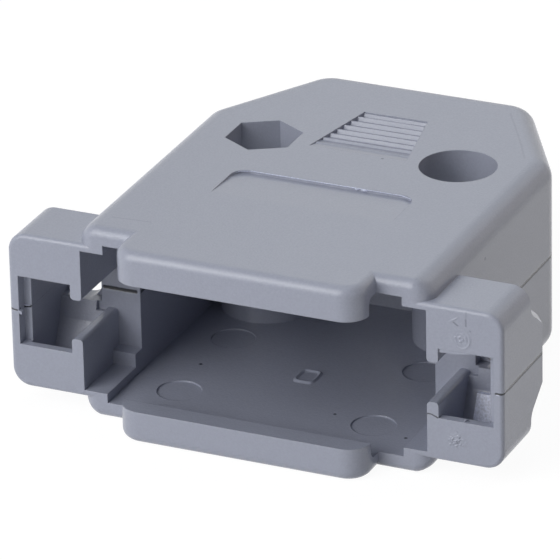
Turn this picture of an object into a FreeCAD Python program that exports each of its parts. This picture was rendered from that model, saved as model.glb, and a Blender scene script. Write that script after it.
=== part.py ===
import FreeCAD, Part
import math
import os

V = FreeCAD.Vector

# A two-part moulded hood for a 25-way D-sub connector. Both halves are the same moulding: the lower one
# is the upper one turned half a turn about Y. While modelling, x = 0 is the middle, y = 0 is the ears'
# front face, +Y runs back to the cable exit and z = 0 is the parting plane. All sizes are millimetres.

# Whole hood
WIDTH = 54.7               # over both ears
HEIGHT = 21.4              # over both halves
LENGTH = 50.5              # lip to rear face
WALL = 1.85                # top, bottom and rear walls

# Body in plan
BODY_WIDTH = 39.1
CHAMFER_X = 7.6            # rear chamfers
CHAMFER_Y = 13.4
CHAMFER_WALL = 2.2
PLAN_ROUND = 3.5           # vertical corners at the sides and the rear
FRONT_PLAN_ROUND = 2.0     # vertical corners at the front
EDGE_ROUND = 2.1           # top edges of the sides and the rear
FRONT_ROUND = 1.05         # top edge of the front, which widens around the corners
CAVITY_WIDTH = 33.0        # between the side walls
CAVITY_ROUND = 0.8         # between the ceiling and the lip's rim

# Lip in front of the ears
LIP_WIDTH = 27.5
LIP_REACH = 4.2
LIP_ROUND = 2.5            # its two front corners in plan
LIP_EDGE = 1.05            # its top edges
RIM_THICK = 2.4            # the rim along the lip's front
RIM_GAP = 14.1             # between the two rims

# Ears
EAR_HEIGHT = 17.2
EAR_DEPTH = 8.2
EAR_ROUND = 2.0            # outer long edge
EAR_EDGE = 0.45            # front edges
EAR_BEVEL = 0.8            # rear edges
BOSS_DEPTH = 11.3          # the ear at mid height
BOSS_HEIGHT = 7.4          # straight part of the boss's back
BOSS_SHOULDER = 12.0       # where the boss has run out
BOSS_ROUND = 1.0
EAR_BACK = 8.4             # inner face of the ear's rear wall
POCKET_HEIGHT = 7.7        # front opening of an ear
POCKET_SIDE_WALL = 1.06    # beside the opening
POCKET_STEP_DEPTH = 1.3    # the seat behind the opening
POCKET_STEP = 0.83
PLATE_THICK = 0.9          # the ear's front, above and below the opening
HOLLOW_HEIGHT = 13.6       # the ear's space behind its front
HOLLOW_BEND_HEIGHT = 7.8   # where its back starts to lean further, as the boss does outside
HOLLOW_BEND = 7.6          # its depth there
HOLLOW_SHALLOW = 6.2       # its depth at full height
TAB_THICK = 1.26           # the rib between the opening and the slot
TAB_ROUND = 0.4            # the rib's free end
TAB_GAP = 4.4              # between the ribs of the two halves
SLOT_WIDTH = 38.2          # between the left and right ribs
SLOT_HEIGHT = 15.7
LEDGE_HEIGHT = 12.7        # between the ledges at the back of the slot
LEDGE_DEPTH = 1.6
JACK_SPACING = 47.04       # jackscrews of a 25-way connector
JACK_HOLE = 4.3
JACK_SEAT_WIDTH = 5.2      # the deeper seat around the hole
JACK_SEAT_HEIGHT = 3.3
JACK_WALL = 1.65           # behind that seat

# Screws and nuts that hold the halves together
SCREW_SPACING = 22.0
SCREW_FROM_REAR = 18.35
SCREW_SIZE = 4.0
SCREW_TIP = 0.6            # past the nut
SCREW_CLEARANCE = 0.3      # on the diameter, through the columns
HEAD_WIDTH = 7.9
HEAD_HEIGHT = 3.1
HEAD_CLEARANCE = 0.3
HEAD_BEVEL = 1.0
CROSS_LENGTH = 4.0
CROSS_WIDTH = 0.9
CROSS_DEPTH = 1.6
NUT_ACROSS_FLATS = 7.0
NUT_HEIGHT = 3.2
NUT_CLEARANCE = 0.15
NUT_CHAMFER = 0.4
THREAD_GAP = 0.04          # on the diameter, between thread and nut
PULLED_DEPTH = 7.6         # from the outer face to the seats
COLUMN_WIDTH = 9.9

# Cable exit
CABLE_HOLE = 9.0
COLLAR_WALL = 1.6
COLLAR_LENGTH = 7.0
COLLAR_WEB = 1.6
CLAMP_RIB = 1.2            # the cross rib behind the screws, with a notch for the cable
CLAMP_RIB_FROM_REAR = 13.2

# Label recess, which runs out towards the front
LABEL_WIDTH = 20.2
LABEL_REAR = 19.1
LABEL_LENGTH = 6.6
LABEL_DEEP = 0.35
LABEL_ROUND = 1.7

# Finger grip
GRIP_FROM_REAR = 8.9
GRIP_LENGTH = 10.2
GRIP_FRONT_WIDTH = 11.0
GRIP_REAR_WIDTH = 7.2
GRIP_TEETH = 8
GRIP_TOOTH = 0.4
GRIP_SINK = 0.3

# Marks of the ejector pins and of the mould insert, inside
PIN_MARK = 4.7
PIN_MARK_DEEP = 0.15
PIN_SPACING = 21.8
PIN_ROWS = (5.4, 18.85)
INSERT_Y = 13.2
INSERT_WIDTH = 2.0
INSERT_LENGTH = 2.6

PAST = 1.0                 # how far a cut runs past the face that it opens

# Worked out
DEPTH = LENGTH - LIP_REACH
TOP = HEIGHT / 2
CEILING = TOP - WALL
HALF = WIDTH / 2
BODY_HALF = BODY_WIDTH / 2
CAVITY_HALF = CAVITY_WIDTH / 2
EAR_TOP = EAR_HEIGHT / 2
TAB_INNER = SLOT_WIDTH / 2
TAB_OUTER = TAB_INNER + TAB_THICK
SCREW_X = SCREW_SPACING / 2
SCREW_Y = DEPTH - SCREW_FROM_REAR
SEAT = TOP - PULLED_DEPTH
SCREW_LENGTH = 2 * SEAT + NUT_HEIGHT + SCREW_TIP
GRIP_REAR = DEPTH - GRIP_FROM_REAR
MIDDLE_Y = (DEPTH - LIP_REACH) / 2


def flat(z):
    """Place plan points at height z."""
    return lambda x, y: V(x, y, z)


def upright(x):
    """Place side-view points at width x."""
    return lambda y, z: V(x, y, z)


def facing(y):
    """Place front-view points at depth y."""
    return lambda x, z: V(x, y, z)


def outline(corners, place):
    """Closed face through (u, v, radius) corners, each rounded by an arc tangent to its two sides."""
    stops = []
    for i, (u, v, radius) in enumerate(corners):
        corner = V(u, v, 0)
        back = (V(*corners[i - 1][:2], 0) - corner).normalize()
        ahead = (V(*corners[(i + 1) % len(corners)][:2], 0) - corner).normalize()
        half = back.getAngle(ahead) / 2
        run = radius / math.tan(half)
        middle = corner + (back + ahead).normalize() * (radius / math.sin(half) - radius)
        stops.append((corner + back * run, middle, corner + ahead * run, radius))
    edges = []
    for i, (start, middle, end, radius) in enumerate(stops):
        start, middle, end = (place(p.x, p.y) for p in (start, middle, end))
        if radius > 0:
            edges.append(Part.Arc(start, middle, end).toShape())
        following = stops[(i + 1) % len(stops)][0]
        edges.append(Part.LineSegment(end, place(following.x, following.y)).toShape())
    return Part.Face(Part.Wire(edges))


def box(x, y, z):
    """Block between pairs of coordinates."""
    return Part.makeBox(x[1] - x[0], y[1] - y[0], z[1] - z[0], V(x[0], y[0], z[0]))


def disc(width, z0, z1, x, y):
    """Upright cylinder."""
    return Part.makeCylinder(width / 2, z1 - z0, V(x, y, z0))


def along_y(width, y0, y1, x=0.0):
    """Cylinder along Y on the parting plane."""
    return Part.makeCylinder(width / 2, y1 - y0, V(x, y0, 0), V(0, 1, 0))


def hexagon(across_flats, z0, z1, x, y):
    """Upright hexagonal prism with corners fore and aft."""
    reach = across_flats / math.sqrt(3)
    turns = [math.radians(30 + 60 * i) for i in range(6)]
    corners = [(x + reach * math.cos(a), y + reach * math.sin(a), 0) for a in turns]
    return outline(corners, flat(z0)).extrude(V(0, 0, z1 - z0))


def both_sides(shape):
    """The shape and its mirror image across the middle."""
    return [shape, shape.mirror(V(0, 0, 0), V(1, 0, 0))]


def pick(shape, test):
    """Edges whose every end passes the test."""
    return [e for e in shape.Edges if all(test(v.Point) for v in e.Vertexes)]


def same(a, b):
    return abs(a - b) < 1e-6


def round_top(block):
    """Round the top edges by FRONT_ROUND along the front and EDGE_ROUND elsewhere, merging between."""
    document = FreeCAD.newDocument("body")
    base = document.addObject("Part::Feature", "block")
    base.Shape = block
    rounded = document.addObject("Part::Fillet", "rounded")
    rounded.Base = base
    edges = []
    for number, edge in enumerate(block.Edges, 1):
        ends = [vertex.Point for vertex in edge.Vertexes]
        if all(same(p.z, TOP) for p in ends):
            edges.append((number, *[FRONT_ROUND if same(p.y, 0) else EDGE_ROUND for p in ends]))
    rounded.Edges = edges
    document.recompute()
    return rounded.Shape.copy()


def body_block():
    """The body as a solid block."""
    rear_half = BODY_HALF - CHAMFER_X
    corner_y = DEPTH - CHAMFER_Y
    plan = [(-BODY_HALF, 0, FRONT_PLAN_ROUND), (BODY_HALF, 0, FRONT_PLAN_ROUND),
            (BODY_HALF, corner_y, PLAN_ROUND), (rear_half, DEPTH, PLAN_ROUND),
            (-rear_half, DEPTH, PLAN_ROUND), (-BODY_HALF, corner_y, PLAN_ROUND)]
    return round_top(outline(plan, flat(0)).extrude(V(0, 0, TOP)))


def lip():
    """The lip in front of the body, with its rim."""
    half = LIP_WIDTH / 2
    plan = [(-half, -LIP_REACH, LIP_ROUND), (half, -LIP_REACH, LIP_ROUND), (half, EDGE_ROUND, 0),
            (-half, EDGE_ROUND, 0)]
    block = outline(plan, flat(RIM_GAP / 2)).extrude(V(0, 0, TOP - RIM_GAP / 2))
    top = [e for e in pick(block, lambda p: same(p.z, TOP)) if e.BoundBox.YMin < 0]
    return block.makeFillet(LIP_EDGE, top)


def ear():
    """The right ear as a solid block with the boss at its back."""
    side = [(0, 0, 0), (BOSS_DEPTH, 0, 0), (BOSS_DEPTH, BOSS_HEIGHT / 2, BOSS_ROUND),
            (EAR_DEPTH, BOSS_SHOULDER / 2, BOSS_ROUND), (EAR_DEPTH, EAR_TOP, 0), (0, EAR_TOP, 0)]
    inner = BODY_HALF - EDGE_ROUND
    block = outline(side, upright(inner)).extrude(V(HALF - inner, 0, 0))
    block = block.makeFillet(EAR_ROUND, pick(block, lambda p: same(p.x, HALF) and same(p.z, EAR_TOP)))
    front = pick(block, lambda p: same(p.y, 0))
    front = [e for e in front if e.BoundBox.XMax > inner and e.BoundBox.ZMax > 0]
    block = block.makeFillet(EAR_EDGE, front)
    return block.makeChamfer(EAR_BEVEL, pick(block, lambda p: same(p.y, EAR_DEPTH) and same(p.z, EAR_TOP)))


def cavity():
    """The space inside the body, open at the front."""
    rear = DEPTH - WALL
    slant = math.atan2(CHAMFER_X, CHAMFER_Y)
    reach = (BODY_HALF - CHAMFER_WALL / math.cos(slant)) + (DEPTH - CHAMFER_Y) * math.tan(slant)
    corner_y = (reach - CAVITY_HALF) / math.tan(slant)
    rear_half = reach - rear * math.tan(slant)
    front = RIM_THICK - LIP_REACH
    plan = [(-CAVITY_HALF, front, 0), (CAVITY_HALF, front, 0), (CAVITY_HALF, corner_y, WALL),
            (rear_half, rear, WALL), (-rear_half, rear, WALL), (-CAVITY_HALF, corner_y, WALL)]
    space = outline(plan, flat(-PAST)).extrude(V(0, 0, CEILING + PAST))
    return space.makeFillet(CAVITY_ROUND, pick(space, lambda p: same(p.y, front) and same(p.z, CEILING)))


def ear_spaces():
    """What is open in the right ear: slot, window, front opening, hollow, the jackscrew's seat and hole."""
    wide = HALF - POCKET_SIDE_WALL
    deep_wide = wide - POCKET_STEP
    ledge = EAR_BACK - LEDGE_DEPTH
    slot_side = [(-PAST, -PAST, 0), (EAR_BACK, -PAST, 0), (EAR_BACK, LEDGE_HEIGHT / 2, 0),
                 (ledge, LEDGE_HEIGHT / 2, 0), (ledge, SLOT_HEIGHT / 2, 0), (-PAST, SLOT_HEIGHT / 2, 0)]
    slot_from = CAVITY_HALF - PAST
    slot = outline(slot_side, upright(slot_from)).extrude(V(TAB_INNER - slot_from, 0, 0))
    window = box((TAB_INNER - PAST, TAB_OUTER + PAST), (-PAST, EAR_BACK), (-PAST, TAB_GAP / 2 + TAB_ROUND))
    opening = box((TAB_OUTER, wide), (-PAST, POCKET_STEP_DEPTH), (-PAST, POCKET_HEIGHT / 2))
    throat = box((TAB_OUTER, deep_wide), (-PAST, PLATE_THICK + PAST), (-PAST, POCKET_HEIGHT / 2))
    hollow_side = [(PLATE_THICK, -PAST, 0), (EAR_BACK, -PAST, 0), (EAR_BACK, 0, 0),
                   (HOLLOW_BEND, HOLLOW_BEND_HEIGHT / 2, 0), (HOLLOW_SHALLOW, HOLLOW_HEIGHT / 2, 0),
                   (PLATE_THICK, HOLLOW_HEIGHT / 2, 0)]
    hollow = outline(hollow_side, upright(TAB_OUTER)).extrude(V(deep_wide - TAB_OUTER, 0, 0))
    jack_x = JACK_SPACING / 2
    seat_depth = (HOLLOW_BEND, BOSS_DEPTH - JACK_WALL)
    seat = box((jack_x - JACK_SEAT_WIDTH / 2, deep_wide), seat_depth, (-PAST, JACK_SEAT_HEIGHT / 2))
    jack = along_y(JACK_HOLE, EAR_BACK, BOSS_DEPTH + PAST, jack_x)
    return [slot, window, opening, throat, hollow, seat, jack]


def tab_end():
    """The rounded free end of the rib between the right ear's opening and its slot."""
    free = TAB_GAP / 2
    root = free + TAB_ROUND + PAST
    end = [(TAB_INNER, free, TAB_ROUND), (TAB_OUTER, free, TAB_ROUND),
           (TAB_OUTER, root, 0), (TAB_INNER, root, 0)]
    return outline(end, facing(0)).extrude(V(0, EAR_BACK, 0))


def column(x):
    """Round column that a screw passes through."""
    return disc(COLUMN_WIDTH, 0, CEILING + WALL / 2, x, SCREW_Y)


def cable_collar():
    """Half a tube inside the rear wall, hung from the roof by a web."""
    width = CABLE_HOLE + 2 * COLLAR_WALL
    front = DEPTH - WALL - COLLAR_LENGTH
    depth = (front, DEPTH - WALL / 2)
    tube = along_y(width, *depth).common(box((-width, width), (0, DEPTH), (0, TOP)))
    web = box((-COLLAR_WEB / 2, COLLAR_WEB / 2), depth, (CABLE_HOLE / 2, CEILING + WALL / 2))
    return tube.fuse(web)


def clamp_rib():
    """Cross rib between the columns, which the cable lies in."""
    front = DEPTH - CLAMP_RIB_FROM_REAR - CLAMP_RIB
    return box((-SCREW_X, SCREW_X), (front, front + CLAMP_RIB), (0, CEILING + WALL / 2))


def cable_passage():
    """The cable hole, through the rib, the collar and the rear wall."""
    return along_y(CABLE_HOLE, DEPTH - CLAMP_RIB_FROM_REAR - CLAMP_RIB - PAST, DEPTH + PAST)


def label_recess():
    """Shallow recess with rounded rear corners, deepest along its rear edge."""
    half = LABEL_WIDTH / 2
    front = LABEL_REAR - LABEL_LENGTH
    plan = [(-half, front, 0), (half, front, 0),
            (half, LABEL_REAR, LABEL_ROUND), (-half, LABEL_REAR, LABEL_ROUND)]
    prism = outline(plan, flat(TOP - LABEL_DEEP)).extrude(V(0, 0, LABEL_DEEP + PAST))
    side = [(front, TOP, 0), (LABEL_REAR, TOP - LABEL_DEEP, 0),
            (LABEL_REAR, TOP + PAST, 0), (front, TOP + PAST, 0)]
    wedge = outline(side, upright(-half)).extrude(V(LABEL_WIDTH, 0, 0))
    return prism.common(wedge)


def grip_recess():
    """Tapered patch of saw teeth that sinks towards its rear edge."""
    front = GRIP_REAR - GRIP_LENGTH
    pitch = GRIP_LENGTH / GRIP_TEETH
    side = [(front, TOP + PAST, 0), (front, TOP, 0)]
    for i in range(GRIP_TEETH):
        sunk = TOP - GRIP_SINK * (i + 1) / GRIP_TEETH
        end = front + (i + 1) * pitch
        side += [(end, sunk - GRIP_TOOTH, 0), (end, sunk, 0)]
    side[-1] = (GRIP_REAR, TOP + PAST, 0)
    half = GRIP_FRONT_WIDTH / 2
    teeth = outline(side, upright(-half)).extrude(V(GRIP_FRONT_WIDTH, 0, 0))
    rear_half = GRIP_REAR_WIDTH / 2
    plan = [(-half, front, 0), (half, front, 0), (rear_half, GRIP_REAR, 0), (-rear_half, GRIP_REAR, 0)]
    deepest = TOP - GRIP_SINK - GRIP_TOOTH
    return teeth.common(outline(plan, flat(deepest)).extrude(V(0, 0, TOP + PAST - deepest)))


def mould_marks():
    """Shallow marks in the roof: four ejector pins and one insert."""
    top = CEILING + PIN_MARK_DEEP
    places = [(x, y) for x in (-PIN_SPACING / 2, PIN_SPACING / 2) for y in PIN_ROWS]
    marks = [disc(PIN_MARK, CEILING - PAST, top, x, y) for x, y in places]
    insert_x = (-INSERT_WIDTH / 2, INSERT_WIDTH / 2)
    insert_y = (INSERT_Y - INSERT_LENGTH / 2, INSERT_Y + INSERT_LENGTH / 2)
    return marks + [box(insert_x, insert_y, (CEILING - PAST, top))]


def half_shell():
    """The moulding, as the upper half."""
    ears = both_sides(ear())
    shell = body_block().fuse([lip()] + ears)
    shell = shell.cut([cavity()] + [side for space in ear_spaces() for side in both_sides(space)])
    shell = shell.fuse([column(-SCREW_X), column(SCREW_X), clamp_rib(), cable_collar()])
    shell = shell.fuse(both_sides(tab_end()))
    nut_pocket = hexagon(NUT_ACROSS_FLATS + NUT_CLEARANCE, SEAT, TOP + PAST, -SCREW_X, SCREW_Y)
    head_pocket = disc(HEAD_WIDTH + HEAD_CLEARANCE, SEAT, TOP + PAST, SCREW_X, SCREW_Y)
    shafts = [disc(SCREW_SIZE + SCREW_CLEARANCE, -PAST, TOP, x, SCREW_Y) for x in (-SCREW_X, SCREW_X)]
    shell = shell.cut([nut_pocket, head_pocket, cable_passage()] + shafts)
    shell = shell.cut([label_recess(), grip_recess()] + mould_marks())
    return shell.removeSplitter()


def screw():
    """Pan-head screw on the right, its head in the upper half's round pocket."""
    top = SEAT + HEAD_HEIGHT
    side = [(0, SEAT - SCREW_LENGTH, 0), (SCREW_SIZE / 2 - THREAD_GAP / 2, SEAT - SCREW_LENGTH, 0),
            (SCREW_SIZE / 2 - THREAD_GAP / 2, SEAT, 0), (HEAD_WIDTH / 2, SEAT, 0),
            (HEAD_WIDTH / 2, top - HEAD_BEVEL, 0), (HEAD_WIDTH / 2 - HEAD_BEVEL, top, 0), (0, top, 0)]
    section = outline(side, lambda r, z: V(SCREW_X + r, SCREW_Y, z))
    solid = section.revolve(V(SCREW_X, SCREW_Y, 0), V(0, 0, 1), 360)
    arms = [(CROSS_LENGTH / 2, CROSS_WIDTH / 2), (CROSS_WIDTH / 2, CROSS_LENGTH / 2)]
    cross = [box((SCREW_X - a, SCREW_X + a), (SCREW_Y - b, SCREW_Y + b), (top - CROSS_DEPTH, top + PAST))
             for a, b in arms]
    return solid.cut(cross).removeSplitter()


def nut():
    """Hexagon nut on the left, in the upper half's hexagonal pocket."""
    top = SEAT + NUT_HEIGHT
    blank = hexagon(NUT_ACROSS_FLATS, SEAT, top, -SCREW_X, SCREW_Y)
    reach = NUT_ACROSS_FLATS / math.sqrt(3)
    side = [(0, SEAT, 0), (reach, SEAT, 0), (reach, top - NUT_CHAMFER, 0),
            (reach - NUT_CHAMFER, top, 0), (0, top, 0)]
    section = outline(side, lambda r, z: V(r - SCREW_X, SCREW_Y, z))
    rounded = blank.common(section.revolve(V(-SCREW_X, SCREW_Y, 0), V(0, 0, 1), 360))
    return rounded.cut(disc(SCREW_SIZE, SEAT - PAST, top + PAST, -SCREW_X, SCREW_Y))


def turned(shape):
    """The shape turned half a turn about the hood's own length."""
    copy = shape.copy()
    copy.rotate(V(0, 0, 0), V(0, 1, 0), 180)
    return copy


def main():
    os.makedirs("parts", exist_ok=True)
    shell = half_shell()
    pieces = {
        "upper_shell": shell,
        "lower_shell": turned(shell),
        "right_screw": screw(),
        "left_screw": turned(screw()),
        "left_nut": nut(),
        "right_nut": turned(nut()),
    }
    for name, shape in pieces.items():
        shape.translate(V(0, -MIDDLE_Y, TOP))
        shape.exportStep("parts/" + name + ".step")
        print(name, "solids", len(shape.Solids), "valid", shape.isValid(), "volume", round(shape.Volume, 1))


main()
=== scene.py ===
"""Looks of the D-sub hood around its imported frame: plastic, plated fasteners, marks, light, camera."""

import math

import bmesh
import bpy
from mathutils import Matrix, Vector, noise as wander


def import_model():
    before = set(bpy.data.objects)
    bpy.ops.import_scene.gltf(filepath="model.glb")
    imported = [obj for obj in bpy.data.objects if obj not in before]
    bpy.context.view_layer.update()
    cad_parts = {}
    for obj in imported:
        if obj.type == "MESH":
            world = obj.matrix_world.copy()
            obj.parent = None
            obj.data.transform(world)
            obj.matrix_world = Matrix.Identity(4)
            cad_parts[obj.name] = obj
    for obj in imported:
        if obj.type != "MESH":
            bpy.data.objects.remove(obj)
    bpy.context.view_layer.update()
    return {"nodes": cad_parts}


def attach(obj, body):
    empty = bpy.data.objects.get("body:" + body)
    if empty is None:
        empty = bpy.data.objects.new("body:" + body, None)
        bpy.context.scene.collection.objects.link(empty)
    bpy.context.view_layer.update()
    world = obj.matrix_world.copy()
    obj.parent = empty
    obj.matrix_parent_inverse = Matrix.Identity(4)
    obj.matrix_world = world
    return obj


MM = 0.001

# Camera, as the photograph was taken: where it looks, from how far and from which side
AIM = Vector((0.0, -13.95, 15.53)) * MM
DISTANCE = 607.3 * MM
AZIMUTH = 24.59
ELEVATION = 24.91
ROLL = -1.25
LENS = 384.0

# Lights, which point at the hood's middle, and the even light from all round
MIDDLE = Vector((0.0, 0.0, 10.7)) * MM
LIGHT_DISTANCE = 0.6
SKY = 0.05

# Floor: its half width in metres, its own grey, and the white that is mixed in where it is seen
FLOOR_HALF = 3.0
FLOOR_GREY = 0.8
FLOOR_ROUGH = 0.9
FLOOR_GLOW = 1.1
FLOOR_WHITE = 0.85         # the white's share, the rest being the grey floor with its shadow

# Colours, linear
PLASTIC = (0.352, 0.371, 0.452)
STEEL = (0.70, 0.70, 0.68)
WHITE = (1.0, 1.0, 1.0)
WARM = (1.0, 0.84, 0.72)
COOL = (0.84, 0.92, 1.0)

# Surface of the plastic: how wide its grain, clouds and waves are, how high they stand, and its roughness
GRAIN = 0.22 * MM
GRAIN_HEIGHT = 0.022 * MM
CLOUD = 1.6 * MM
WAVE = 6 * MM
WAVE_HEIGHT = 0.012 * MM
GLOSS = (0.23, 0.27)
EDGE_ROUND = 0.12 * MM

# Marks and painted shade in the plastic: how deep they lie, how much of the colour is left in them, and how
# they waver
MARK_DEPTH = 0.04 * MM
MARK_AND_SHADE_COLOUR = 0.06
WAVER_LENGTH = 0.7 * MM
WAVER = 0.12 * MM

# Parting line, painted as the shade in the hairline gap between the shells: how dark it is, how far it
# reaches up and down, and from where it is seen, in millimetres
PARTING_SHADE_DARK = 0.8
PARTING_REACH = 0.24
PARTING_FRONT = 1.4        # behind the ears' fronts
PARTING_SIDE = 26.4        # on the ears' outer sides
PARTING_REAR = 8.6         # all round, behind the ears

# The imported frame's origin in the CAD's own numbers, where y = 0 is the ears' fronts and z = 0 the parting
FRONT_Y = 21.05
PARTING_Z = 10.7

# Grip recess, as in the CAD, and the leaning teeth that lie in it, deeper from tooth to tooth
TOP_Z = 10.7
GRIP_FRONT = 27.2
GRIP_REAR = 37.4
GRIP_HALF_FRONT = 5.5
GRIP_HALF_REAR = 3.6
GRIP_TEETH = 8
GRIP_FIRST_DEEP = 0.14
GRIP_DEEPER = 0.13
GRIP_DEEP = 0.47
GRIP_LEAN = 0.20
GRIP_CREST = 0.04          # how far the crests lie below the top
GRIP_REAR_CREST = 0.12     # the last one and the strip behind it
GRIP_REAR_STRIP = 0.13
GRIP_FRONT_GAP = 0.02
GRIP_FLOOR = 0.75

# Thin pieces: how far they stand off a face or sink in, and how tubes are made
SKIN = 0.01
RIM_DEEP = 0.05
TUBE_SIDES = 8
TUBE_END = 0.35            # share of the radius that is left at the ends
TUBE_UNEVEN = 0.3

# Marks on the right ear's front, in x and z: their middles and half sizes
GATE = (22.85, 5.9)
GATE_HALF = (1.5, 1.95)
GATE_SKIN = 0.004
ROUGH = (22.25, -6.05)
ROUGH_HALF = (1.25, 1.1)
ROUGH_HEIGHT = 0.32

# Mould insert's mark: the height of the lower shell's inner face, its middle there, and its ridge
INNER_Z = -8.85
INSERT = (0.15, 13.2)
INSERT_HALF = (1.5, 1.8)
RIDGE_HALF = (1.02, 1.33)
RIDGE_WIDTH = 0.13
RIDGE_HEIGHT = 0.22
RIDGE_BEND = 4.5           # 2 is an ellipse, and more is squarer

# Bead along the label recess's rear edge, a painted highlight of that edge in the lighter plastic, and the
# nicks in it
LABEL_REAR = 19.1
BEAD_Z = 10.615
BEAD_RADIUS = 0.055
NICK_Y = (19.06, 19.05, 19.06)
NICK_Z = 10.52
NICK_RADIUS = 0.12

# Flaws of the right ear: the wavy upper edge of its opening in x and z, and the step inside in y and z,
# which is painted paler as a lit face
EAR_EDGE = [(20.52, 3.90), (20.53, 3.47), (21.33, 3.55), (22.2, 3.54), (22.95, 3.67), (23.81, 3.81),
            (24.88, 3.83), (25.4, 3.90)]
EAR_EDGE_DEEP = 0.85
EAR_STEP = [(7.60, -4.02), (7.08, -4.04), (5.93, -6.50), (5.80, -6.79), (6.60, -6.79)]
EAR_STEP_X = (21.62, 25.9)

# Flash and burrs along the seam: the flash in x and z, and the burrs' paths. The two seam burrs are painted
# lighter as a highlight
FLASH = [(-26.60, -0.14), (-26.02, -0.42), (-25.90, -0.36), (-25.96, -0.04), (-26.3, -0.02)]
FLASH_Y = (-0.12, 0.3)
LEFT_BURR = [(-26.5, 1.26, 0.10), (-26.1, 1.22, 0.06), (-25.6, 1.24, 0.09)]
RIGHT_BURR = [(26.55, -0.01, -0.17), (26.9, 0.04, -0.19), (27.2, 0.2, -0.18), (27.28, 0.5, -0.16)]
SILL_BURR = [(23.02, 0.0, -3.86), (23.1, 0.3, -3.80), (23.25, 0.7, -3.83), (23.35, 0.9, -3.86)]
BURR_RADIUS = 0.07
SILL_BURR_RADIUS = 0.09

# Cracks, scratches, specks and lines of painted shade: their points, how far they reach sideways, and how
# dark they are
UPPER_MARKS_AND_SHADE = [
    ([(21.9, 0, 7.17), (22.65, 0, 6.65)], 0.12, 0.35),
    ([(23.38, 0, 7.54), (23.38, 0, 6.88)], 0.14, 0.30),
    ([(23.42, 0, 8.54), (23.38, 0, 7.54)], 0.14, 0.12),
    ([(23.82, 0, 6.35)], 0.16, 0.25),
    ([(22.85, 0, 5.2)], 0.15, 0.6),
    # painted shade in the gap between the shells at the right ear's front corner
    ([(26.55, 0, -0.02), (27.15, 0.05, -0.02), (27.35, 0.5, 0), (27.35, 1.5, 0)], 0.13, 0.95),
    # painted shade in the gaps between the shells at the left ear
    ([(-27.35, 0.1, 0.07), (-26.53, 0, -0.04), (-26.18, 0.4, 0.10)], 0.12, 0.9),
    ([(-26.49, 1.3, -0.1), (-25.5, 1.3, 0.0)], 0.16, 0.95),
    ([(-20.6, 8.4, 0.02), (-17.0, 8.4, 0.0)], 0.25, 0.97),
    # a faint darker line across the top
    ([(10.9, 42.64, 10.7), (15.08, 35.35, 10.7), (16.61, 32.4, 10.7)], 0.14, 0.10),
    # painted shade along the line where the front rounding meets the top
    ([(-16.77, 3.24, 10.7), (-12.74, 3.51, 10.7)], 0.14, 0.10),
    ([(19.55, 14.36, 7.39)], 0.22, 0.5),
    ([(2.95, 26.85, 10.7)], 0.20, 0.45),
]
LOWER_MARKS_AND_SHADE = [
    ([(19.16, 0, -3.54), (19.65, 0, -3.57), (20.28, 0, -3.83)], 0.11, 0.8),
    ([(22.31, 0, -5.15)], 0.17, 0.7),
    # painted shade in the gaps between the shells at both ears
    ([(26.55, 0, -0.05), (27.15, 0.05, -0.05), (27.35, 0.5, 0), (27.35, 1.5, 0)], 0.13, 0.95),
    ([(-27.35, 0.1, 0.03), (-26.53, 0, -0.08), (-26.18, 0.4, 0.06)], 0.12, 0.9),
    ([(-26.49, 1.3, -0.2), (-25.57, 1.3, -0.04)], 0.16, 0.95),
    ([(-20.6, 8.4, -0.02), (-17.0, 8.4, -0.03)], 0.25, 0.97),
    ([(23.4, 0.5, -3.85)], 0.16, 0.6),
    ([(-11.45, 11.92, -8.85)], 0.26, 0.9),
    ([(6.22, 6.3, -8.85)], 0.24, 0.8),
    ([(15.1, 3.92, -8.85)], 0.24, 0.8),
]


def at(x, y, z):
    """A place given in millimetres from the ears' fronts and the parting plane."""
    return Vector((x, y - FRONT_Y, z + PARTING_Z)) * MM


def new_material(name):
    """An empty node material with its output and a Principled shader."""
    material = bpy.data.materials.new(name)
    material.use_nodes = True
    nodes = material.node_tree.nodes
    nodes.clear()
    output = nodes.new("ShaderNodeOutputMaterial")
    shader = nodes.new("ShaderNodeBsdfPrincipled")
    material.node_tree.links.new(shader.outputs["BSDF"], output.inputs["Surface"])
    return material, shader


def noise(material, size, detail):
    """Noise in object space whose features are about size metres across."""
    nodes, links = material.node_tree.nodes, material.node_tree.links
    place = nodes.new("ShaderNodeTexCoord")
    node = nodes.new("ShaderNodeTexNoise")
    node.inputs["Scale"].default_value = 1 / size
    node.inputs["Detail"].default_value = detail
    links.new(place.outputs["Object"], node.inputs["Vector"])
    return node.outputs["Fac"]


def spread(material, value, low, high):
    """The middle of a noise, from 0.3 to 0.7, spread over low to high."""
    node = material.node_tree.nodes.new("ShaderNodeMapRange")
    node.inputs["From Min"].default_value = 0.3
    node.inputs["From Max"].default_value = 0.7
    node.inputs["To Min"].default_value = low
    node.inputs["To Max"].default_value = high
    material.node_tree.links.new(value, node.inputs["Value"])
    return node.outputs["Result"]


def bump(material, height, depth, under=None):
    """Bump of the given depth in metres, over an earlier normal."""
    node = material.node_tree.nodes.new("ShaderNodeBump")
    node.inputs["Strength"].default_value = 1.0
    node.inputs["Distance"].default_value = depth
    material.node_tree.links.new(height, node.inputs["Height"])
    if under:
        material.node_tree.links.new(under, node.inputs["Normal"])
    return node.outputs["Normal"]


def soft_edges(material, radius):
    """A normal that rounds the mesh's edges by the given radius."""
    node = material.node_tree.nodes.new("ShaderNodeBevel")
    node.samples = 4
    node.inputs["Radius"].default_value = radius
    return node.outputs["Normal"]


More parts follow.
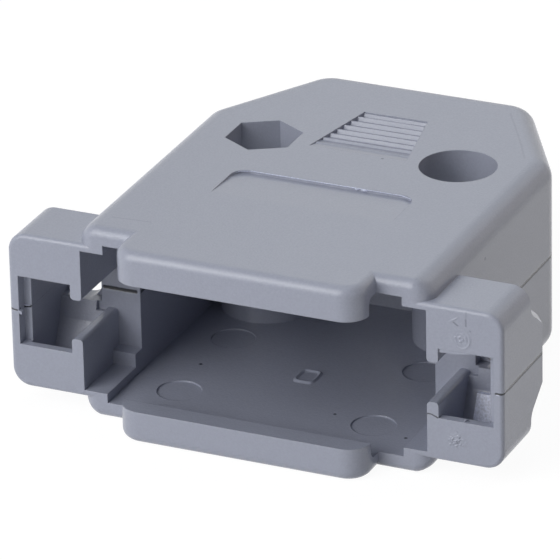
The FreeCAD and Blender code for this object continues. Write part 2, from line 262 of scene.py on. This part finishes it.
def tinted(material, colour, value, low, high):
    """The colour times a factor that runs from low to high with a noise."""
    nodes, links = material.node_tree.nodes, material.node_tree.links
    mix = nodes.new("ShaderNodeMix")
    mix.data_type = "RGBA"
    mix.inputs["A"].default_value = (*[c * low for c in colour], 1)
    mix.inputs["B"].default_value = (*[c * high for c in colour], 1)
    links.new(spread(material, value, 0, 1), mix.inputs["Factor"])
    return mix.outputs["Result"]


def join(material, value, socket):
    """Link a socket to a socket, or write a plain value into it."""
    if isinstance(value, bpy.types.NodeSocket):
        material.node_tree.links.new(value, socket)
    else:
        socket.default_value = value


def vector_step(material, operation, first, second=None, out="Vector"):
    """One step of vector arithmetic."""
    node = material.node_tree.nodes.new("ShaderNodeVectorMath")
    node.operation = operation
    join(material, first, node.inputs[0])
    if second is not None:
        join(material, second, node.inputs[1])
    return node.outputs[out]


def number_step(material, operation, first, second=0.0, clamp=False):
    """One step of arithmetic."""
    node = material.node_tree.nodes.new("ShaderNodeMath")
    node.operation = operation
    node.use_clamp = clamp
    join(material, first, node.inputs[0])
    join(material, second, node.inputs[1])
    return node.outputs[0]


def wavy_place(material):
    """Object coordinates that waver a little, so that no mark looks ruled."""
    nodes, links = material.node_tree.nodes, material.node_tree.links
    place = nodes.new("ShaderNodeTexCoord")
    node = nodes.new("ShaderNodeTexNoise")
    node.inputs["Scale"].default_value = 1 / WAVER_LENGTH
    links.new(place.outputs["Object"], node.inputs["Vector"])
    shift = vector_step(material, "SUBTRACT", node.outputs["Color"], (0.5, 0.5, 0.5))
    shift = vector_step(material, "MULTIPLY", shift, (WAVER,) * 3)
    return vector_step(material, "ADD", place.outputs["Object"], shift)


def fading(material, distance, reach, strength):
    """The strength on a line, which fades to nothing at the given distance from it."""
    node = material.node_tree.nodes.new("ShaderNodeMapRange")
    node.inputs["From Min"].default_value = reach * 0.45
    node.inputs["From Max"].default_value = reach
    node.inputs["To Min"].default_value = strength
    node.inputs["To Max"].default_value = 0.0
    material.node_tree.links.new(distance, node.inputs["Value"])
    return node.outputs["Result"]


def streak(material, place, start, end, reach, strength):
    """A mask along the straight line from start to end, or round a spot where they are the same."""
    offset = vector_step(material, "SUBTRACT", place, start)
    run = end - start
    if run.length > 0:
        share = vector_step(material, "DOT_PRODUCT", offset, run / run.length_squared, "Value")
        share = number_step(material, "ADD", share, clamp=True)
        near = vector_step(material, "MULTIPLY", share, run)
        offset = vector_step(material, "SUBTRACT", offset, near)
    distance = vector_step(material, "LENGTH", offset, out="Value")
    return fading(material, distance, reach, strength)


def parting_seam_shade(material, place):
    """A mask of painted shade along the parting plane, where the shells meet: on the ears' outer sides, and
    all round behind them.
    """
    node = material.node_tree.nodes.new("ShaderNodeSeparateXYZ")
    material.node_tree.links.new(place, node.inputs["Vector"])
    off = number_step(material, "SUBTRACT", node.outputs["Z"], PARTING_Z * MM)
    line = fading(material, number_step(material, "ABSOLUTE", off), PARTING_REACH * MM, PARTING_SHADE_DARK)
    behind = number_step(material, "GREATER_THAN", node.outputs["Y"], (PARTING_FRONT - FRONT_Y) * MM)
    sideways = number_step(material, "ABSOLUTE", node.outputs["X"])
    wide = number_step(material, "GREATER_THAN", sideways, PARTING_SIDE * MM)
    rear = number_step(material, "GREATER_THAN", node.outputs["Y"], (PARTING_REAR - FRONT_Y) * MM)
    outside = number_step(material, "MULTIPLY", behind, number_step(material, "MAXIMUM", wide, rear))
    return number_step(material, "MULTIPLY", line, outside)


def marks(material, marks_and_shade):
    """The parting line's painted shade and the listed marks and painted shade as one mask."""
    place = wavy_place(material)
    mask = parting_seam_shade(material, place)
    for points, reach, strength in marks_and_shade:
        if len(points) == 1:
            points = points * 2
        for start, end in zip(points, points[1:]):
            line = streak(material, place, at(*start), at(*end), reach * MM, strength)
            mask = number_step(material, "MAXIMUM", mask, line)
    return mask


def darkened_by_marks_and_shade(material, colour, mask):
    """The colour, turned dark as the mask grows: the dark of a crack or speck, or painted shade in a seam
    gap or along a rounding.
    """
    mix = material.node_tree.nodes.new("ShaderNodeMix")
    mix.data_type = "RGBA"
    join(material, colour, mix.inputs["A"])
    mix.inputs["B"].default_value = (*[c * MARK_AND_SHADE_COLOUR for c in PLASTIC], 1)
    join(material, mask, mix.inputs["Factor"])
    return mix.outputs["Result"]


def plastic(name, marks_and_shade=None, shade=1.0, uneven=0.035, rounding=EDGE_ROUND):
    """Satin moulded plastic: fine grain, slow waves, soft edges, slightly uneven colour and gloss."""
    material, shader = new_material(name)
    links = material.node_tree.links
    grain = noise(material, GRAIN, detail=3)
    wave = noise(material, WAVE, detail=1)
    cloud = noise(material, CLOUD, detail=4)
    # a shade above 1 makes a lighter copy of the plastic, used for painted light
    colour = tinted(material, PLASTIC, grain, (1 - uneven) * shade, (1 + uneven) * shade)
    links.new(spread(material, cloud, *GLOSS), shader.inputs["Roughness"])
    normal = soft_edges(material, rounding) if rounding else None
    normal = bump(material, wave, WAVE_HEIGHT, normal)
    normal = bump(material, grain, GRAIN_HEIGHT, normal)
    # marks and painted shade: a darker colour, and a small dent in the bump
    if marks_and_shade is not None:
        mask = marks(material, marks_and_shade)
        colour = darkened_by_marks_and_shade(material, colour, mask)
        hollow = number_step(material, "SUBTRACT", 1.0, mask)
        normal = bump(material, hollow, MARK_DEPTH, normal)
    links.new(colour, shader.inputs["Base Color"])
    links.new(normal, shader.inputs["Normal"])
    return material


def plated_steel():
    """Zinc plate with fine turning marks."""
    material, shader = new_material("plated_steel")
    links = material.node_tree.links
    shader.inputs["Metallic"].default_value = 1.0
    fine = noise(material, 0.1 * MM, detail=2)
    cloud = noise(material, 1.2 * MM, detail=3)
    links.new(tinted(material, STEEL, cloud, 0.9, 1.0), shader.inputs["Base Color"])
    links.new(spread(material, cloud, 0.28, 0.42), shader.inputs["Roughness"])
    normal = bump(material, fine, 0.004 * MM, soft_edges(material, 0.1 * MM))
    links.new(normal, shader.inputs["Normal"])
    return material


def mesh_piece(name, points, faces, material):
    """A piece made of millimetre points, in the shells' plastic, which rides on the body."""
    mesh = bpy.data.meshes.new(name)
    mesh.from_pydata([at(*p) for p in points], [], faces)
    shape = bmesh.new()
    shape.from_mesh(mesh)
    bmesh.ops.recalc_face_normals(shape, faces=shape.faces)
    shape.to_mesh(mesh)
    shape.free()
    obj = bpy.data.objects.new(name, mesh)
    bpy.context.scene.collection.objects.link(obj)
    dress(obj, material)
    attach(obj, "root")
    return obj


def smooth(obj):
    """Shade a piece smoothly."""
    for face in obj.data.polygons:
        face.use_smooth = True


def prism(name, side, ends, material):
    """A closed body between two ends, each a function that turns the side's (a, b) into a point."""
    count = len(side)
    points = [end(a, b) for end in ends for a, b in side]
    faces = [tuple(range(count)), tuple(range(count, 2 * count))]
    for i in range(count):
        j = (i + 1) % count
        faces.append((i, j, count + j, count + i))
    mesh_piece(name, points, faces, material)


def grip_side():
    """The teeth seen from the side, as places along y and depths below the top."""
    pitch = (GRIP_REAR - GRIP_FRONT) / GRIP_TEETH
    start = GRIP_FRONT + GRIP_FRONT_GAP
    side = [(start, GRIP_CREST / 2)]
    for i in range(GRIP_TEETH):
        crest_y = GRIP_FRONT + (i + 1) * pitch
        crest = GRIP_CREST
        if i == GRIP_TEETH - 1:
            crest_y -= GRIP_REAR_STRIP
            crest = GRIP_REAR_CREST
        side.append((crest_y - GRIP_LEAN, min(GRIP_DEEP, GRIP_FIRST_DEEP + GRIP_DEEPER * i)))
        side.append((crest_y, crest))
    side.append((GRIP_REAR - SKIN, GRIP_REAR_CREST))
    side.append((GRIP_REAR - SKIN, GRIP_FLOOR))
    side.append((start, GRIP_FLOOR))
    return side


def grip(name, turn, material):
    """Teeth in the grip recess: each slopes down to the rear, then rises again in a leaning face."""
    def edge(sign):
        def place(y, deep):
            share = (y - GRIP_FRONT) / (GRIP_REAR - GRIP_FRONT)
            half = GRIP_HALF_FRONT + share * (GRIP_HALF_REAR - GRIP_HALF_FRONT) - SKIN
            return (sign * half, y, turn * (TOP_Z - deep))
        return place

    prism(name, grip_side(), (edge(-1), edge(1)), material)


def tube(name, path, radius, material):
    """A thin ridge or burr along a path, thinner at its ends and slightly uneven."""
    points = []
    last = len(path) - 1
    for i, spot in enumerate(path):
        spot = Vector(spot)
        along = Vector(path[min(i + 1, last)]) - Vector(path[max(i - 1, 0)])
        sideways = along.orthogonal().normalized()
        other = along.cross(sideways).normalized()
        share = TUBE_END if i in (0, last) else 1.0
        size = radius * share * (1 + TUBE_UNEVEN * wander.noise(spot * 3))
        for k in range(TUBE_SIDES):
            angle = 2 * math.pi * k / TUBE_SIDES
            points.append(spot + (sideways * math.cos(angle) + other * math.sin(angle)) * size)
    faces = [tuple(range(TUBE_SIDES)), tuple(range(len(points) - TUBE_SIDES, len(points)))]
    for low in range(0, last * TUBE_SIDES, TUBE_SIDES):
        high = low + TUBE_SIDES
        for k in range(TUBE_SIDES):
            m = (k + 1) % TUBE_SIDES
            faces.append((low + k, low + m, high + m, high + k))
    smooth(mesh_piece(name, points, faces, material))


def patch(name, place, half, height, material, step=0.06):
    """A thin skin with a raised pattern. place turns (u, v, height) into millimetres."""
    half_u, half_v = half
    wide = int(2 * half_u / step) + 1
    long = int(2 * half_v / step) + 1
    points = []
    for i in range(wide):
        for j in range(long):
            u = half_u * (2 * i / (wide - 1) - 1)
            v = half_v * (2 * j / (long - 1) - 1)
            rim = i in (0, wide - 1) or j in (0, long - 1)
            points.append(place(u, v, -RIM_DEEP if rim else height(u, v)))
    faces = []
    for i in range(wide - 1):
        for j in range(long - 1):
            a = i * long + j
            faces.append((a, a + 1, a + long + 1, a + long))
    ring = list(range(long))
    ring += [i * long + long - 1 for i in range(1, wide)]
    ring += [(wide - 1) * long + j for j in range(long - 2, -1, -1)]
    ring += [i * long for i in range(wide - 2, 0, -1)]
    faces.append(tuple(ring))
    smooth(mesh_piece(name, points, faces, material))


def hill(distance, width):
    """A rounded ridge: 1 at distance 0."""
    return math.exp(-(distance / width) ** 2)


def gate_mark(u, v):
    """Height of the rings round the spot where the plastic came in, with a torn middle and a scratch."""
    v += 0.6
    away = math.hypot(u * 1.08, v)
    turn = math.atan2(v, u)
    rough = wander.noise(Vector((u, v, 0.3)) * 3.1)
    broken = 0.55 + 0.45 * math.sin(turn * 2 + 0.6 + 2 * rough)
    ring = 0.11 * hill(away - 0.62 - 0.12 * rough, 0.12) * broken
    outer = 0.07 * hill(away - 1.02 - 0.10 * rough, 0.14) * (0.6 + 0.4 * math.sin(turn + 2.2))
    torn = 0.14 * hill(away - 0.24, 0.11) * (0.6 + 0.4 * math.sin(turn * 3 + 1))
    off_scratch = (u + 0.75) * 0.55 - (v - 1.55) * 0.83 + 0.42
    scratch = 0.12 * hill(off_scratch, 0.10) * hill(math.hypot(u + 0.55, v - 1.75), 0.5)
    fade = min(1.0, max(0.0, (1.45 - away) / 0.35))
    if fade > 0:
        return max(ring, outer, torn) * fade + scratch + GATE_SKIN
    return scratch - SKIN if scratch < 0.012 else scratch


def rough_mark(u, v):
    """Height of the coarse patch below the opening, in coarse and fine lumps."""
    away = math.hypot(u, v / 0.85)
    coarse = abs(wander.noise(Vector((u, v, 7.0)) * 3.1))
    fine = abs(wander.noise(Vector((u, v, 2.0)) * 6.3))
    return ROUGH_HEIGHT * (coarse + 0.6 * fine) * hill(away, 0.85) - 2 * SKIN


def insert_mark(u, v):
    """Height of the square ridge that the mould's insert left."""
    wide, long = RIDGE_HALF
    away = (abs(u / wide) ** RIDGE_BEND + abs(v / long) ** RIDGE_BEND) ** (1 / RIDGE_BEND)
    return RIDGE_HEIGHT * hill(away - 1.0, RIDGE_WIDTH) + (SKIN if away < 1.2 else -SKIN)


def facing(y):
    """Points (x, z) of a plane that faces the front."""
    return lambda x, z: (x, y, z)


def across(x):
    """Points (y, z) of a plane across the hood."""
    return lambda y, z: (x, y, z)


def on_ear(middle):
    """Points (u, v) round a middle on the right ear's front, h in front of it."""
    x, z = middle
    return lambda u, v, h: (x + u, -h, z + v)


def on_inner_face(side):
    """Points (u, v) round the insert's middle, h above the lower shell's inner face, or turned over."""
    x, y = INSERT
    return lambda u, v, h: (side * (x + u), y + v, side * (INNER_Z + h))


def label_highlight_path():
    """The path of the painted highlight along the rear edge of the label recess and round its two corners.
    """
    corner = [(9.95, 17.9), (9.55, 18.65), (8.4, LABEL_REAR)]
    line = [(-x, y) for x, y in corner]
    line += [(1.4 * i, LABEL_REAR) for i in range(-5, 6)]
    line += corner[::-1]
    return [(x, y, BEAD_Z) for x, y in line]


def nick(name, places, material):
    """A bright nick in the label recess's rear wall."""
    tube(name, [(x, y, NICK_Z) for x, y in zip(places, NICK_Y)], NICK_RADIUS, material)


def dress(obj, material):
    """Give a node or a piece one material."""
    obj.data.materials.clear()
    obj.data.materials.append(material)


def softbox(name, direction, level, size, colour=WHITE):
    """Square soft light on the hood's middle. A face turned to it at level 1 shows its own colour."""
    data = bpy.data.lights.new(name, "AREA")
    data.shape = "SQUARE"
    data.size = size
    data.energy = level * math.pi ** 2 * LIGHT_DISTANCE ** 2
    data.color = colour
    obj = bpy.data.objects.new(name, data)
    bpy.context.scene.collection.objects.link(obj)
    towards = Vector(direction).normalized()
    obj.location = MIDDLE + towards * LIGHT_DISTANCE
    obj.rotation_euler = towards.to_track_quat("Z", "Y").to_euler()


def camera():
    """The photograph's camera."""
    az, el = math.radians(AZIMUTH), math.radians(ELEVATION)
    back = Vector((math.sin(az) * math.cos(el), -math.cos(az) * math.cos(el), math.sin(el)))
    data = bpy.data.cameras.new("camera")
    data.lens = LENS
    data.sensor_width = 36.0
    data.clip_start = 0.01
    obj = bpy.data.objects.new("camera", data)
    bpy.context.scene.collection.objects.link(obj)
    level = (-back).to_track_quat("-Z", "Y").to_matrix().to_4x4()
    roll = Matrix.Rotation(math.radians(ROLL), 4, "Z")
    obj.matrix_world = Matrix.Translation(AIM + back * DISTANCE) @ level @ roll
    bpy.context.scene.camera = obj


def seen(nodes, links):
    """1 for a ray that shows a background: from the camera, off gloss or through glass."""
    path = nodes.new("ShaderNodeLightPath")
    outputs = [path.outputs[name] for name in ("Is Camera Ray", "Is Glossy Ray", "Is Transmission Ray")]
    for output in outputs[1:]:
        node = nodes.new("ShaderNodeMath")
        node.operation = "MAXIMUM"
        links.new(outputs[0], node.inputs[0])
        links.new(output, node.inputs[1])
        outputs[0] = node.outputs[0]
    return outputs[0]


def floor():
    """White floor that keeps a faint shadow of the object."""
    mesh = bpy.data.meshes.new("floor")
    half = FLOOR_HALF
    corners = [(-half, -half, 0), (half, -half, 0), (half, half, 0), (-half, half, 0)]
    mesh.from_pydata(corners, [], [(0, 1, 2, 3)])
    obj = bpy.data.objects.new("floor", mesh)
    bpy.context.scene.collection.objects.link(obj)
    material, shader = new_material("floor")
    nodes, links = material.node_tree.nodes, material.node_tree.links
    shader.inputs["Base Color"].default_value = (FLOOR_GREY, FLOOR_GREY, FLOOR_GREY, 1)
    shader.inputs["Roughness"].default_value = FLOOR_ROUGH
    glow = nodes.new("ShaderNodeEmission")
    glow.inputs["Strength"].default_value = FLOOR_GLOW
    mix = nodes.new("ShaderNodeMixShader")
    links.new(number_step(material, "MULTIPLY", seen(nodes, links), FLOOR_WHITE), mix.inputs["Fac"])
    links.new(shader.outputs["BSDF"], mix.inputs[1])
    links.new(glow.outputs["Emission"], mix.inputs[2])
    links.new(mix.outputs["Shader"], nodes["Material Output"].inputs["Surface"])
    dress(obj, material)


def world():
    """Even pale surroundings."""
    scene = bpy.context.scene
    scene.world = bpy.data.worlds.new("world")
    scene.world.use_nodes = True
    nodes, links = scene.world.node_tree.nodes, scene.world.node_tree.links
    background = nodes["Background"]
    background.inputs["Color"].default_value = (1, 1, 1, 1)
    level = nodes.new("ShaderNodeMapRange")
    level.inputs["To Min"].default_value = SKY
    level.inputs["To Max"].default_value = 1.0
    links.new(seen(nodes, links), level.inputs["Value"])
    links.new(level.outputs["Result"], background.inputs["Strength"])
    scene.view_settings.view_transform = "Standard"


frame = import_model()

upper_plastic = plastic("grey_plastic_upper", UPPER_MARKS_AND_SHADE)
lower_plastic = plastic("grey_plastic_lower", LOWER_MARKS_AND_SHADE)
bare_plastic = plastic("grey_plastic_bare")
mark_plastic = plastic("grey_plastic_mark", rounding=None)
# a lighter copy of the plastic: painted highlights on the seam burrs and the label edge, a painted lit face
# on the right ear's step, and the label nicks
painted_light_plastic = plastic("grey_plastic_painted_light", shade=1.75, uneven=0.2, rounding=None)
metal = plated_steel()
SHELLS = {"upper_shell": upper_plastic, "lower_shell": lower_plastic}
for name, node in frame["nodes"].items():
    dress(node, SHELLS.get(name, metal))

grip("upper_grip", 1, bare_plastic)
grip("lower_grip", -1, bare_plastic)
patch("right_gate", on_ear(GATE), GATE_HALF, gate_mark, mark_plastic)
patch("right_rough", on_ear(ROUGH), ROUGH_HALF, rough_mark, mark_plastic)
patch("lower_insert", on_inner_face(1), INSERT_HALF, insert_mark, mark_plastic, step=0.08)
patch("upper_insert", on_inner_face(-1), INSERT_HALF, insert_mark, mark_plastic, step=0.08)

prism("right_ear_edge", EAR_EDGE, (facing(SKIN), facing(EAR_EDGE_DEEP)), mark_plastic)
# the step's paler colour is painted light on a face that catches the light
prism("right_ear_step_painted_light", EAR_STEP, [across(x) for x in EAR_STEP_X], painted_light_plastic)
prism("left_seam_flash", FLASH, [facing(y) for y in FLASH_Y], mark_plastic)
# real burrs in shape, whose lighter colour is a painted highlight
tube("left_seam_burr", LEFT_BURR, BURR_RADIUS, painted_light_plastic)
tube("right_seam_burr", RIGHT_BURR, BURR_RADIUS, painted_light_plastic)
# a bead in the lighter plastic, a painted highlight along the label recess's rear edge
tube("label_edge_highlight", label_highlight_path(), BEAD_RADIUS, painted_light_plastic)
nick("left_label_nick", (3.2, 3.43, 3.66), painted_light_plastic)
nick("right_label_nick", (3.95, 4.27, 4.6), painted_light_plastic)
tube("right_sill_burr", SILL_BURR, SILL_BURR_RADIUS, mark_plastic)

camera()
floor()
world()
softbox("top", (0.0, 0.0, 1.0), 0.14, 0.40, COOL)
softbox("high_front_left", (-0.35, -0.70, 0.62), 0.44, 0.42)
softbox("front_left", (-0.60, -0.75, 0.30), 0.23, 0.40)
softbox("front", (-0.30, -0.90, 0.26), 0.12, 0.40)
softbox("back", (0.0, 0.70, 0.70), 0.17, 0.60, COOL)
softbox("right", (0.70, 0.60, 0.40), 0.19, 0.80, WARM)
